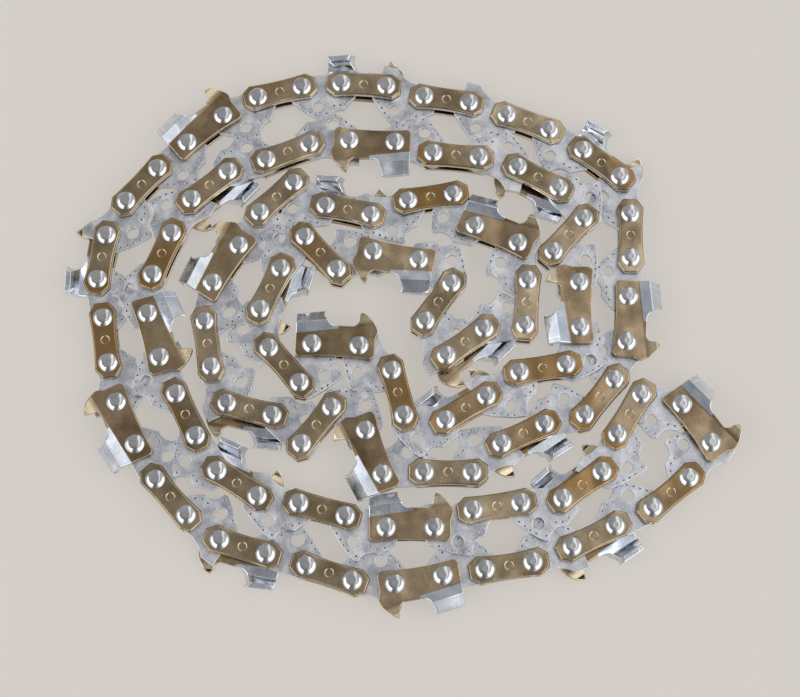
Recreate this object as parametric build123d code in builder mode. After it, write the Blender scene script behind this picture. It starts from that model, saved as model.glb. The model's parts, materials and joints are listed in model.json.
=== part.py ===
from build123d import *
import math
import os

import numpy as np

# A saw chain: a closed loop of riveted links, folded double and coiled flat. Millimetres, +Z up.
# Each link has its own plane: x runs from its trailing rivet to its leading one, y points to the
# cutting side, the tangs to -y, and z = 0 is the middle of the drive links.

# Pitch and thicknesses
STRAP_PITCH = 10.16  # rivet to rivet along a tie strap or a cutter
DRIVE_PITCH = 8.89  # rivet to rivet along a drive link
STRAP_THICK = 1.2
DRIVE_GAUGE = 1.3  # thickness of a drive link
HEAD_HEIGHT = 0.75  # of a rivet, above the strap

# Tie strap, seen from the side of the chain
STRAP_REACH = 3.4  # past each rivet
STRAP_HALF = 2.95  # half its width at the ends
STRAP_CUT_LONG = 2.0  # cut corners, along and across the strap
STRAP_CUT_WIDE = 1.45
BACK_WAIST = 0.3  # how far its long edges curve in at the middle
TANG_WAIST = 0.5
CORNER_ROUND = 0.5
EDGE_BREAK = 0.28
MARK_RADIUS = 0.9  # round stamped mark at its middle
MARK_DEPTH = 0.12

# Cutter: a strap whose upper part flares out, leans over and turns across the chain
CUTTER_HEEL = 3.5  # behind the trailing rivet
CUTTER_NOSE = 3.4  # ahead of the leading rivet
TOP_HEIGHT = 7.9  # of the top plate's front corner above the rivets
TOP_FRONT = 3.9  # of that corner ahead of the trailing rivet
TOP_RELIEF = 8.0  # degrees by which the top plate falls towards the heel
TOP_REACH = 0.8  # past the middle of the chain
FLARE_START = 3.2  # heights of the bends in line with the front corner
SHOULDER_HEIGHT = 5.3
FLARE = 0.6  # how far out the shoulder stands
LEAN = 1.7  # how far in the top plate's bend is from the shoulder
FILE_DIAMETER = 4.0  # round file that ground the cutting edge
FILE_AHEAD = 1.1  # of the file's middle, ahead of that corner
FILE_ANGLE = 30.0  # degrees from square across the chain
GULLET_FLOOR = 4.15
BACK_BEND = 38.0  # degrees that the link behind may turn up under the heel
GAUGE_HEIGHT = 7.3  # depth gauge
GAUGE_BULGE = 0.6  # how far it stands ahead of the nose
HEEL_ROUND = 0.9
TOE_ROUND = 1.2  # foot of the nose
TOE_DROP = 0.2  # how far the toe reaches below the heel
NOSE_BASE = 1.4  # heights between which the nose swells out to the gauge
NOSE_TOP = 3.0
NOSE_ROUND = 0.8

# Drive link
DRIVE_HALF = 2.8  # from the rivets to its back edge, and round its ends
TANG_DEPTH = 8.35
TANG_TIP = 4.75  # of the tip ahead of the trailing rivet
TANG_HEEL = 2.6  # behind the trailing rivet
TANG_TOE = 3.0  # ahead of the leading rivet
TOE_DEPTH = 5.75
TIP_ROUND = 0.4
OIL_HOLE = 2.6
FIN_HEIGHT = 5.2  # guard fin of a bumper link
FIN_TAIL = 1.86
FIN_TOP = 1.25
FIN_RUN = 5.4

# Rivet
HEAD_RADIUS = 2.1
HEAD_FLAT = 0.6
HEAD_RIM = 0.1
HUB_RADIUS = 2.2  # bearing inside the drive link
SHANK_RADIUS = 1.55  # end that is set in a strap
RUNNING_GAP = 0.05  # hub to drive link, on the radius
SEAT_GAP = 0.01  # shank to strap, on the radius

# Lay of the loop. It lies as two runs: the returning run rests its tangs on those of the first.
RUN_GAP = 0.3  # between the tangs of the two runs
LAY_GAP = 0.15  # between links that lie beside each other
LAY_REACH = 2 * STRAP_PITCH + 4  # bars further apart than this never meet
CLIMB_LINKS = 6  # links over which the chain steps up to the other run
CLIMB_FROM = 59  # links from the outer fold to the step up, and to the step down
DESCEND_FROM = 115
FIRST_LOW = 3  # first link on the lower run
STEP_PLAY = 0.05  # side play left over where the chain steps

# Link sets in travel order from the outer fold: right-hand cutter, left-hand cutter or tie straps.
# An odd number of sets leaves two plain ones side by side.
LINK_SETS = "RTLT" * 4 + "T" + "LTRT" * 10 + "LT"

# The way each link points, in whole degrees from +X, read round the loop in travel order.
# Each set is followed by the drive link ahead of it.
HEADINGS = [
    308, 232, 214, 204, 211, 203, 190, 189, 188, 176, 164, 163, 162, 142, 136, 121,  # lower edge
    114, 103, 100, 102, 81, 63, 45, 44, 43, 30, 14, 5,  # left edge
    357, 342, 353, 341, 331, 327, 325, 283, 274, 251, 270, 248,  # upper edge and right edge
    236, 185, 207, 210, 191, 188, 105, 130, 235, 151, 161, 117, 102, 89, 51, 51,  # second turn
    44, 327, 349, 29, 15, 298, 323, 292, 273, 188, 209, 125, 62, 141, 167, 216,  # middle
    132, 237, 239, 286, 316, 77, 353, 325, 283, 359, 25, 27, 22, 70, 84, 131,  # way back out
    44, 135, 151, 160, 176, 167, 179, 175, 205, 199, 220, 238, 244, 269,
    289, 292, 292, 306, 330, 348, 343, 350, 356, 28, 9, 9, 36, 62, 56, 342,  # back to the fold
]

SETS = len(LINK_SETS)
LINKS = 2 * SETS
LENGTHS = np.array([STRAP_PITCH, DRIVE_PITCH] * SETS)
RISE = DRIVE_GAUGE + RUN_GAP
SIDE_PLAY = RISE / CLIMB_LINKS + STEP_PLAY  # between a drive link and the strap beside it
STRAP_INNER = DRIVE_GAUGE / 2 + SIDE_PLAY
STRAP_OUTER = STRAP_INNER + STRAP_THICK
RIVET_TOP = STRAP_OUTER + HEAD_HEIGHT
SEAT_RADIUS = SHANK_RADIUS + SEAT_GAP

# The outer fold swings on two parallel link sets, one in each run.
FOLD_IN = SETS - 3
FOLD_OUT = 3
FOLD_END_SETS = [SETS - 2, SETS - 1, 0, 1, 2]
FOLD_END_DRIVES = [FOLD_IN] + FOLD_END_SETS
FOLD_SETS = [FOLD_IN, FOLD_OUT] + FOLD_END_SETS


def is_bumper(number):
    """Guard links follow each cutter, and the first of two plain sets."""
    pair = LINK_SETS[number] + LINK_SETS[(number + 1) % SETS]
    return pair[0] != "T" or pair == "TT"


def level(link):
    """How far above the lower run a link lies, counting links from the outer fold."""
    along = (link - FIRST_LOW) % LINKS + FIRST_LOW
    up = min(max((along - CLIMB_FROM) / CLIMB_LINKS, 0), 1)
    down = min(max((along - DESCEND_FROM) / CLIMB_LINKS, 0), 1)
    return RISE * (up - down)


def set_feelers(kind):
    """Rounded bars inside a link set's outline: both ends, radius, bottom and top."""
    found = []
    end = STRAP_REACH - STRAP_HALF
    relief = math.tan(math.radians(TOP_RELIEF))
    heel_top = TOP_HEIGHT - relief * (TOP_FRONT + CUTTER_HEEL)
    for side in (-1, 1):
        plate = sorted((side * STRAP_INNER, side * STRAP_OUTER))
        head = sorted((side * STRAP_INNER, side * RIVET_TOP))
        flank = sorted((side * (STRAP_INNER - 0.2), side * (STRAP_OUTER + FLARE)))
        found.append((-end, 0, STRAP_PITCH + end, 0, STRAP_HALF, *plate))
        for rivet_x, end_x in ((0, 0.5 - STRAP_REACH), (STRAP_PITCH, STRAP_PITCH + STRAP_REACH - 0.5)):
            found.append((rivet_x, 0, rivet_x, 0, HEAD_RADIUS, *head))
            found.append((end_x, -1.2, end_x, 1.2, 0.5, *plate))
        if kind == {-1: "L", 1: "R"}[side]:
            top = sorted((-side * TOP_REACH, side * STRAP_OUTER))
            rim = 0.5
            heel = rim - CUTTER_HEEL
            nose = STRAP_PITCH + CUTTER_NOSE - rim
            gauge = STRAP_PITCH + 0.75
            found.append((heel + rim, heel_top - 1.0, TOP_FRONT - 1.0, TOP_HEIGHT - 1.0, 1.0, *top))
            found.append((heel, heel_top - rim, heel, heel_top - rim, rim, *top))
            found.append((TOP_FRONT - rim, TOP_HEIGHT - rim, TOP_FRONT - rim, TOP_HEIGHT - rim, rim, *top))
            found.append((heel, 0.4 - STRAP_HALF, heel, 0.4 - STRAP_HALF, rim, *flank))
            found.append((heel + 0.8, 0, heel + 0.8, heel_top - 2.6, 1.3, *flank))
            found.append((heel + 0.6, heel_top - 2.6, TOP_FRONT - 0.5, TOP_HEIGHT - 3.1, 1.1, *flank))
            found.append((nose - 0.4, rim - STRAP_HALF, nose, NOSE_BASE, rim, *flank))
            found.append((nose + GAUGE_BULGE, NOSE_TOP, nose + 0.25, GAUGE_HEIGHT - 2.3, rim, *flank))
            found.append((gauge + 0.3, GAUGE_HEIGHT - 2.4, gauge + 1.3, GAUGE_HEIGHT - 3.5, 1.5, *flank))
            found.append((gauge - 0.1, GAUGE_HEIGHT - 0.65, gauge, GAUGE_HEIGHT - 0.8, 0.7, *top))
    return found


def drive_feelers(bumper):
    """The same for a drive link: body, tang from heel to tip, toe, and the fin."""
    plate = (-DRIVE_GAUGE / 2, DRIVE_GAUGE / 2)
    toe_x = DRIVE_PITCH + TANG_TOE
    found = [
        (0, 0, DRIVE_PITCH, 0, DRIVE_HALF, *plate),
        (2.0 - TANG_HEEL, -2.7, TANG_TIP - 1.5, 2.35 - TANG_DEPTH, 1.7, *plate),
        (TANG_TIP - 1.7, 2.35 - TANG_DEPTH, TANG_TIP + 0.2, 0.75 - TANG_DEPTH, 0.75, *plate),
        (TANG_TIP - 0.3, 0.75 - TANG_DEPTH, TANG_TIP + 0.2, 0.75 - TANG_DEPTH, 0.75, *plate),
        (TANG_TIP + 0.3, 1.6 - TOE_DEPTH, DRIVE_PITCH, 1.85 - TOE_DEPTH, 1.85, *plate),
        (toe_x - 1.4, -2.5, toe_x - 1.4, -2.5, 1.2, *plate),
    ]
    if bumper:
        found.append((0.7 - FIN_TAIL, FIN_HEIGHT - 0.7, FIN_TOP - 0.4, FIN_HEIGHT - 0.7, 0.7, *plate))
        found.append((FIN_TOP - 0.4, FIN_HEIGHT - 1.0, FIN_RUN - 1.9, DRIVE_HALF - 0.2, 0.7, *plate))
    return found


class Lay:
    """Where the rivets lie on the table."""

    def __init__(self, rivets):
        """Gathers every link's feelers, and the pairs that share a height and lie near each other."""
        rows = []
        for number, kind in enumerate(LINK_SETS):
            for link, found in (
                (2 * number, set_feelers(kind)),
                (2 * number + 1, drive_feelers(is_bumper(number))),
            ):
                for *bar, low, high in found:
                    rows.append((link, *bar, low + level(link), high + level(link)))
        table = np.array(rows)
        self.link = table[:, 0].astype(int)
        self.start = table[:, 1:3]
        self.end = table[:, 3:5]
        self.radius = table[:, 5]
        low, high = table[:, 6], table[:, 7]
        one, two = np.triu_indices(len(table), 1)
        apart = np.abs(self.link[one] - self.link[two])
        apart = np.minimum(apart, LINKS - apart)
        share = (low[one] < high[two] + RUN_GAP / 2) & (low[two] < high[one] + RUN_GAP / 2)
        middle = sum(self.bars(rivets)) / 2
        near = np.linalg.norm(middle[one] - middle[two], axis=1) < LAY_REACH
        meet = share & near & (apart > 1)
        self.one = one[meet]
        self.two = two[meet]

    def bars(self, rivets):
        """The feelers' two ends on the table."""
        along = np.roll(rivets, -1, axis=0) - rivets
        along /= np.linalg.norm(along, axis=1)[:, None]
        across = np.column_stack([-along[:, 1], along[:, 0]])
        ends = []
        for local in (self.start, self.end):
            ends.append(
                rivets[self.link] + local[:, :1] * along[self.link] + local[:, 1:] * across[self.link]
            )
        return ends

    def gaps(self, rivets):
        """The gap between the bars of each pair, and the way from the second bar to the first."""
        start, end = self.bars(rivets)
        gap = np.full(len(self.one), np.inf)
        way = np.zeros((len(self.one), 2))
        for sign, mine, other in ((1, self.one, self.two), (-1, self.two, self.one)):
            run = end[other] - start[other]
            length = np.maximum((run**2).sum(axis=1), 1e-9)
            for point in (start[mine], end[mine]):
                share = np.clip(((point - start[other]) * run).sum(axis=1) / length, 0, 1)
                step = point - start[other] - share[:, None] * run
                distance = np.linalg.norm(step, axis=1)
                nearer = distance < gap
                gap[nearer] = distance[nearer]
                way[nearer] = sign * step[nearer]
        way /= np.maximum(gap, 1e-9)[:, None]
        return gap - self.radius[self.one] - self.radius[self.two], way

    def push(self, rivets):
        """Moves each pair that lies too close apart, and says whether any did."""
        gap, way = self.gaps(rivets)
        close = gap < LAY_GAP
        step = (LAY_GAP + 0.01 - gap[close])[:, None] * way[close]
        moves = np.zeros_like(rivets)
        count = np.zeros((LINKS, 1))
        for sign, feeler in ((1, self.one[close]), (-1, self.two[close])):
            for rivet in (self.link[feeler], (self.link[feeler] + 1) % LINKS):
                np.add.at(moves, rivet, sign * step)
                np.add.at(count, rivet, 1)
        return rivets + 0.6 * moves / np.maximum(count, 1), close.any()


def join(rivets, rounds):
    """Brings every link to its length and the fold's two side links parallel, with the least movement."""
    fold = [2 * FOLD_IN, 2 * FOLD_IN + 1, 2 * FOLD_OUT, 2 * FOLD_OUT + 1]
    for _ in range(rounds):
        along = np.roll(rivets, -1, axis=0) - rivets
        length = np.linalg.norm(along, axis=1)
        askew = rivets[fold[1]] - rivets[fold[0]] + rivets[fold[3]] - rivets[fold[2]]
        slope = np.zeros((LINKS + 2, LINKS, 2))
        for link in range(LINKS):
            slope[link, link] = -along[link] / length[link]
            slope[link, (link + 1) % LINKS] = along[link] / length[link]
        for axis in (0, 1):
            slope[LINKS + axis, fold, axis] = (-1, 1, -1, 1)
        slope = slope.reshape(LINKS + 2, 2 * LINKS)
        error = np.concatenate([length - LENGTHS, askew])
        rivets = rivets - np.linalg.lstsq(slope, error)[0].reshape(LINKS, 2)
    return rivets


def lay_loop():
    """Lays the links along their headings, closes the loop and eases links apart that would touch."""
    turn = np.radians(HEADINGS)
    steps = LENGTHS[:, None] * np.column_stack([np.cos(turn), np.sin(turn)])
    rivets = join(np.cumsum(steps, axis=0) - steps, 4)
    lay = Lay(rivets)
    for _ in range(400):
        rivets, moved = lay.push(rivets)
        rivets = join(rivets, 2)
        if not moved:
            break
    return join(rivets, 4)


with BuildPart() as upper_tie_strap:
    with BuildSketch(Plane.XY.offset(STRAP_INNER)) as strap_outline:
        with BuildLine():
            left = -STRAP_REACH
            right = STRAP_PITCH + STRAP_REACH
            flat = STRAP_HALF - STRAP_CUT_WIDE
            middle = STRAP_PITCH / 2
            Polyline(
                (left + STRAP_CUT_LONG, STRAP_HALF),
                (left, flat),
                (left, -flat),
                (left + STRAP_CUT_LONG, -STRAP_HALF),
            )
            Polyline(
                (right - STRAP_CUT_LONG, STRAP_HALF),
                (right, flat),
                (right, -flat),
                (right - STRAP_CUT_LONG, -STRAP_HALF),
            )
            ThreePointArc(
                (left + STRAP_CUT_LONG, STRAP_HALF),
                (middle, STRAP_HALF - BACK_WAIST),
                (right - STRAP_CUT_LONG, STRAP_HALF),
            )
            ThreePointArc(
                (left + STRAP_CUT_LONG, -STRAP_HALF),
                (middle, TANG_WAIST - STRAP_HALF),
                (right - STRAP_CUT_LONG, -STRAP_HALF),
            )
        make_face()
        fillet(strap_outline.vertices(), CORNER_ROUND)
    extrude(amount=STRAP_THICK)
    chamfer(upper_tie_strap.faces().sort_by(Axis.Z)[-1].edges(), EDGE_BREAK)
    with Locations((0, 0, STRAP_OUTER), (STRAP_PITCH, 0, STRAP_OUTER)):
        Hole(SEAT_RADIUS, depth=STRAP_THICK)
    with Locations((STRAP_PITCH / 2, 0, STRAP_OUTER)):
        Hole(MARK_RADIUS, depth=MARK_DEPTH)

with BuildPart() as lower_tie_strap:
    mirror(upper_tie_strap.part, about=Plane.XY)

with BuildPart() as right_cutter:
    # Bent sheet, drawn across the chain behind the heel and run forward and up at the relief angle
    start_x = -CUTTER_HEEL - 1.0
    fall = (TOP_FRONT - start_x) * math.tan(math.radians(TOP_RELIEF))
    sheet_z = (STRAP_INNER + STRAP_OUTER) / 2
    crown = TOP_HEIGHT - STRAP_THICK / 2
    with BuildSketch(Plane((start_x, -fall, 0), x_dir=(0, 1, 0), z_dir=(1, 0, 0))):
        with BuildLine():
            Polyline(
                (-2 * STRAP_HALF, sheet_z),
                (FLARE_START, sheet_z),
                (SHOULDER_HEIGHT, sheet_z + FLARE),
                (crown, sheet_z + FLARE - LEAN),
                (crown, -TOP_REACH),
            )
        trace(line_width=STRAP_THICK)
    run = STRAP_PITCH + 2 * (CUTTER_HEEL + CUTTER_NOSE)
    rise = math.radians(TOP_RELIEF)
    extrude(amount=run, dir=(math.cos(rise), math.sin(rise), 0))
    # Outline seen from the side of the chain: body, depth gauge, gullet and tooth
    nose = STRAP_PITCH + CUTTER_NOSE
    file_x = TOP_FRONT + FILE_AHEAD
    file_y = GULLET_FLOOR + FILE_DIAMETER / 2
    with BuildSketch(Plane.XY.offset(-RIVET_TOP)) as cutter_outline:
        with BuildLine():
            foot = Polyline(
                (file_x, GULLET_FLOOR),
                (TOP_FRONT, file_y),
                (TOP_FRONT, TOP_HEIGHT + 1),
                (-CUTTER_HEEL, TOP_HEIGHT + 1),
                (-CUTTER_HEEL, -STRAP_HALF),
            )
            waist = ThreePointArc(
                foot @ 1, (STRAP_PITCH / 2, TANG_WAIST - STRAP_HALF), (nose, -STRAP_HALF - TOE_DROP)
            )
            front = Polyline(waist @ 1, (nose, NOSE_BASE), (nose + GAUGE_BULGE, NOSE_TOP))
            gauge = ThreePointArc(
                front @ 1, (nose - 0.5, GAUGE_HEIGHT - 2.0), (STRAP_PITCH + 0.3, GAUGE_HEIGHT)
            )
            rear = Line(gauge @ 1, (STRAP_PITCH - 0.2, GAUGE_HEIGHT - 1.5))
            gullet = ThreePointArc(
                rear @ 1, (STRAP_PITCH - 0.5, GULLET_FLOOR + 0.5), (STRAP_PITCH - 1.2, GULLET_FLOOR)
            )
            Line(gullet @ 1, foot @ 0)
        make_face()
        fillet(cutter_outline.vertices().sort_by(Axis.Y)[0], TOE_ROUND)
        fillet(cutter_outline.vertices().sort_by(Axis.X)[:2].sort_by(Axis.Y)[0], HEEL_ROUND)
        fillet(cutter_outline.vertices().filter_by_position(Axis.Y, NOSE_BASE, NOSE_TOP), NOSE_ROUND)
    extrude(amount=2 * RIVET_TOP, mode=Mode.INTERSECT)
    # Cutting edge ground by a round file, square to the chain less the filing angle
    lean = math.radians(FILE_ANGLE)
    file_centre = (file_x, file_y, STRAP_OUTER)
    with BuildSketch(Plane(file_centre, x_dir=(0, 1, 0), z_dir=(math.sin(lean), 0, math.cos(lean)))):
        Circle(FILE_DIAMETER / 2)
    extrude(amount=4 * STRAP_OUTER, both=True, mode=Mode.SUBTRACT)
    # Room under the top plate for the drive link behind, when the chain bends back
    room = DRIVE_GAUGE + 0.2
    with BuildSketch(Plane.XY.offset(-room / 2)):
        Rectangle(DRIVE_PITCH, DRIVE_HALF + 0.1, rotation=-BACK_BEND, align=(Align.MAX, Align.MIN))
    extrude(amount=room, mode=Mode.SUBTRACT)
    with Locations((0, 0, STRAP_OUTER), (STRAP_PITCH, 0, STRAP_OUTER)):
        Hole(SEAT_RADIUS, depth=STRAP_THICK)

with BuildPart() as left_cutter:
    mirror(right_cutter.part, about=Plane.XY)

with BuildPart() as drive_link:
    with BuildSketch(Plane.XY.offset(-DRIVE_GAUGE / 2)) as drive_outline:
        with BuildLine():
            bend = DRIVE_HALF * math.sqrt(0.5)
            toe_x = DRIVE_PITCH + TANG_TOE
            back = Line((0, DRIVE_HALF), (DRIVE_PITCH, DRIVE_HALF))
            lead = ThreePointArc(back @ 1, (DRIVE_PITCH + bend, bend), (DRIVE_PITCH + DRIVE_HALF, 0))
            toe = Polyline(lead @ 1, (toe_x, -DRIVE_HALF), (DRIVE_PITCH, -TOE_DEPTH))
            scoop = ThreePointArc(
                toe @ 1,
                ((DRIVE_PITCH + TANG_TIP) / 2 - 0.3, -TOE_DEPTH - 0.4),
                (TANG_TIP + 0.4, -TANG_DEPTH + 0.1),
            )
            tip = Line(scoop @ 1, (TANG_TIP - 0.4, -TANG_DEPTH))
            heel = ThreePointArc(
                tip @ 1, (TANG_TIP - 3.9, -TANG_DEPTH + 2.35), (-TANG_HEEL, -DRIVE_HALF)
            )
            trail = Line(heel @ 1, (-DRIVE_HALF, 0))
            ThreePointArc(trail @ 1, (-bend, bend), back @ 0)
        make_face()
        fillet(drive_outline.vertices().group_by(Axis.Y)[0], TIP_ROUND)
        with Locations((0, 0), (DRIVE_PITCH, 0)):
            Circle(HUB_RADIUS + RUNNING_GAP, mode=Mode.SUBTRACT)
        with Locations((TANG_TIP - 1.5, TANG_TIP - 1.0 - TANG_DEPTH)):
            Circle(OIL_HOLE / 2, mode=Mode.SUBTRACT)
    extrude(amount=DRIVE_GAUGE)

with BuildPart() as bumper_link:
    add(drive_link.part)
    with BuildSketch(Plane.XY.offset(-DRIVE_GAUGE / 2)):
        with BuildLine():
            root = HUB_RADIUS + RUNNING_GAP * 2
            fin = Polyline((FIN_RUN, root), (-FIN_TAIL, root), (-FIN_TAIL, FIN_HEIGHT), (FIN_TOP, FIN_HEIGHT))
            slope = ThreePointArc(
                fin @ 1,
                ((FIN_TOP + FIN_RUN) / 2 - 0.4, (FIN_HEIGHT + DRIVE_HALF) / 2 - 0.25),
                (FIN_RUN, DRIVE_HALF),
            )
            Line(slope @ 1, fin @ 0)
        make_face()
    extrude(amount=DRIVE_GAUGE)

with BuildPart() as rivet:
    with BuildSketch(Plane.XZ):
        with BuildLine():
            rim = STRAP_OUTER + HEAD_RIM
            dome = (
                (HEAD_FLAT + HEAD_RADIUS) / 2 + 0.12 * HEAD_RADIUS,
                (RIVET_TOP + rim) / 2 + 0.12 * HEAD_HEIGHT,
            )
            Line((0, -RIVET_TOP), (0, RIVET_TOP))
            for side in (1, -1):
                Line((0, side * RIVET_TOP), (HEAD_FLAT, side * RIVET_TOP))
                ThreePointArc(
                    (HEAD_FLAT, side * RIVET_TOP), (dome[0], side * dome[1]), (HEAD_RADIUS, side * rim)
                )
                Polyline(
                    (HEAD_RADIUS, side * rim),
                    (HEAD_RADIUS, side * STRAP_OUTER),
                    (SHANK_RADIUS, side * STRAP_OUTER),
                    (SHANK_RADIUS, side * STRAP_INNER),
                    (HUB_RADIUS, side * STRAP_INNER),
                )
            Line((HUB_RADIUS, STRAP_INNER), (HUB_RADIUS, -STRAP_INNER))
        make_face()
    revolve(axis=Axis.Z)


def places():
    """Each link's place on the table, from its trailing rivet and the way it points."""
    rivets = lay_loop()
    found = []
    for link in range(LINKS):
        x, y = rivets[link]
        along = rivets[(link + 1) % LINKS] - rivets[link]
        heading = math.degrees(math.atan2(along[1], along[0]))
        found.append(Location((x, y, RIVET_TOP + level(link)), (0, 0, heading)))
    return found


def pieces_on(link):
    """The pieces of one link other than its rivets: a drive link, or the two sides of a set."""
    number = link // 2
    if link % 2:
        return [bumper_link if is_bumper(number) else drive_link]
    kind = LINK_SETS[number]
    upper = right_cutter if kind == "R" else upper_tie_strap
    lower = left_cutter if kind == "L" else lower_tie_strap
    return [upper, lower]


def centred(spots):
    """Moves the places so that the whole loop's box stands centred on the origin."""
    corners = []
    for link, spot in enumerate(spots):
        for piece in pieces_on(link):
            box = piece.part.moved(spot).bounding_box()
            corners.append((box.min.X, box.min.Y))
            corners.append((box.max.X, box.max.Y))
    middle = (np.min(corners, axis=0) + np.max(corners, axis=0)) / 2
    return [Location((-middle[0], -middle[1], 0)) * spot for spot in spots]


def export(name, master, spots):
    """Writes one node: a copy of the master link at each spot."""
    with BuildPart() as node:
        with Locations(*spots):
            add(master.part)
    node.part.label = name
    export_step(node.part, f"parts/{name}.step")


os.makedirs("parts", exist_ok=True)
spots = centred(places())
set_spots = spots[0::2]
drive_spots = spots[1::2]
lead_rivet = Location((STRAP_PITCH, 0, 0))


def rivet_spots(numbers):
    """Both rivets of each set."""
    return [end for number in numbers for end in (set_spots[number], set_spots[number] * lead_rivet)]


def pick(places, numbers, wanted):
    """The places of those of the numbered links that are wanted."""
    return [places[number] for number in numbers if wanted(number)]


others = [number for number in range(SETS) if number not in FOLD_SETS]
other_drives = [number for number in range(SETS) if number not in FOLD_END_DRIVES]
cutters = {"R": ("right_cutter", right_cutter), "L": ("left_cutter", left_cutter)}
for kind, (name, cutter) in cutters.items():
    for count, number in enumerate([n for n in range(SETS) if LINK_SETS[n] == kind], start=1):
        export(f"{name}_{count:02d}", cutter, [set_spots[number]])
export("drive_links", drive_link, pick(drive_spots, other_drives, lambda n: not is_bumper(n)))
export("bumper_links", bumper_link, pick(drive_spots, other_drives, is_bumper))
export("upper_tie_straps", upper_tie_strap, pick(set_spots, others, lambda n: LINK_SETS[n] != "R"))
export("lower_tie_straps", lower_tie_strap, pick(set_spots, others, lambda n: LINK_SETS[n] != "L"))
export("rivets", rivet, rivet_spots(others))

# The outer fold: a link set on each side and the end that joins them
for side, number in (("inner_side", FOLD_IN), ("outer_side", FOLD_OUT)):
    export(f"{side}_upper_strap", upper_tie_strap, [set_spots[number]])
    export(f"{side}_lower_strap", lower_tie_strap, [set_spots[number]])
    export(f"{side}_rivets", rivet, rivet_spots([number]))
export("fold_drive_links", drive_link, pick(drive_spots, FOLD_END_DRIVES, lambda n: not is_bumper(n)))
export("fold_bumper_links", bumper_link, pick(drive_spots, FOLD_END_DRIVES, is_bumper))
export("fold_upper_straps", upper_tie_strap, pick(set_spots, FOLD_END_SETS, lambda n: LINK_SETS[n] != "R"))
export("fold_lower_straps", lower_tie_strap, pick(set_spots, FOLD_END_SETS, lambda n: LINK_SETS[n] != "L"))
export("fold_rivets", rivet, rivet_spots(FOLD_END_SETS))
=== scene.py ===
# %% [markdown]
# # A coil of saw chain
#
# The chain lies folded double and coiled on a pale table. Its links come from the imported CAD
# model, in metres, and stay as they are. This script gives each kind of link the finish of the
# real steel, turns smooth rivets in place of the model's, adds the small stamped dots that are too
# fine for the solids, and sets up the table, the light and the camera.

import json
import math

import bmesh
import bpy
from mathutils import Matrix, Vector


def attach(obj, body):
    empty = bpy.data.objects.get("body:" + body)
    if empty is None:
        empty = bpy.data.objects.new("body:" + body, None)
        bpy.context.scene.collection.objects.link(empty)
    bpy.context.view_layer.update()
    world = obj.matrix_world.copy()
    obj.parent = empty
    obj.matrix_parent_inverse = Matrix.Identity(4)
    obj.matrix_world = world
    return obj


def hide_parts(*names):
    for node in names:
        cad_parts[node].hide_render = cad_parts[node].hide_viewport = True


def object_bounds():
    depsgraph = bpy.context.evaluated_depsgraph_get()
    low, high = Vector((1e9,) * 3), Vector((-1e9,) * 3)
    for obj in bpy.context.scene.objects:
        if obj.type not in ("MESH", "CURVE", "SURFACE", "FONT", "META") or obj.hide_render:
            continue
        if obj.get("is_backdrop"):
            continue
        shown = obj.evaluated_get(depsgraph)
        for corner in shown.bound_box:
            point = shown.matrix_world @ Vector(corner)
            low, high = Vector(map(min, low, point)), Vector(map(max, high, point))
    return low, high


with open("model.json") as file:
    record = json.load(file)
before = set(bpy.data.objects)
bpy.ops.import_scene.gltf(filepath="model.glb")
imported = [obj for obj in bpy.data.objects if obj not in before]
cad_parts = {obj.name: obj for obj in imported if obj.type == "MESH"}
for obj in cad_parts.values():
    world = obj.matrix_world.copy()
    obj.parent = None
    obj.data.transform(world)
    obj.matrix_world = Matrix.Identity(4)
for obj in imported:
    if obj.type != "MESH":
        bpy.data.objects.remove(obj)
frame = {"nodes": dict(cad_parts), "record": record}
cad_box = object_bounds()
MM = 0.001

# %% [markdown]
# ## Colours and nodes
#
# Colours are written as they look on a screen, in sRGB, while shaders work with linear light, so
# one function turns the first into the second. A second function adds one shader node. It sets the
# node's own settings first, since they decide which inputs the node has. Then it gives each input
# either a value or the socket of another node.

# %% Two helpers


def linear(hex_colour):
    """An sRGB hex colour as linear RGBA."""
    channels = [int(hex_colour[i : i + 2], 16) / 255 for i in (1, 3, 5)]
    return [c / 12.92 if c <= 0.04045 else ((c + 0.055) / 1.055) ** 2.4 for c in channels] + [1.0]


def add(tree, kind, inputs=None, **settings):
    """Adds a shader node, sets its attributes, and fills or links its inputs."""
    made = tree.nodes.new(kind)
    for name, value in settings.items():
        setattr(made, name, value)
    for socket, value in (inputs or {}).items():
        if isinstance(value, bpy.types.NodeSocket):
            tree.links.new(value, made.inputs[socket])
        else:
            made.inputs[socket].default_value = value
    return made


print("middle grey reads as", round(linear("#808080")[0], 3), "of full light")

# %% [markdown]
# ## A blank metal
#
# All of the chain is bare or plated steel, so each finish starts from the same blank: a Principled
# shader that is fully metallic, and coordinates on the object, in metres, for the patterns. A
# metal has no colour below its surface, so its base colour is the tint of what it mirrors. The tie
# straps come first. They are spring steel, which is stamped, tumbled, and drawn to a straw-brown
# temper.

# %% The straps' blank


def new_finish(name):
    """An empty metal: its material, node tree, principled shader and object coordinates."""
    finish = bpy.data.materials.new(name)
    finish.use_nodes = True
    tree = finish.node_tree
    tree.nodes.clear()
    shader = add(tree, "ShaderNodeBsdfPrincipled", {"Metallic": 1.0})
    add(tree, "ShaderNodeOutputMaterial", {"Surface": shader.outputs["BSDF"]})
    place = add(tree, "ShaderNodeTexCoord").outputs["Object"]
    return finish, tree, shader, place


# Gives the eye a warm brown satin with pale gold rims, worn and partly a painted highlight
strap_finish, tree, shader, place = new_finish("Straw-tempered spring steel, tumbled")
print("blank:", strap_finish.name)

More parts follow.
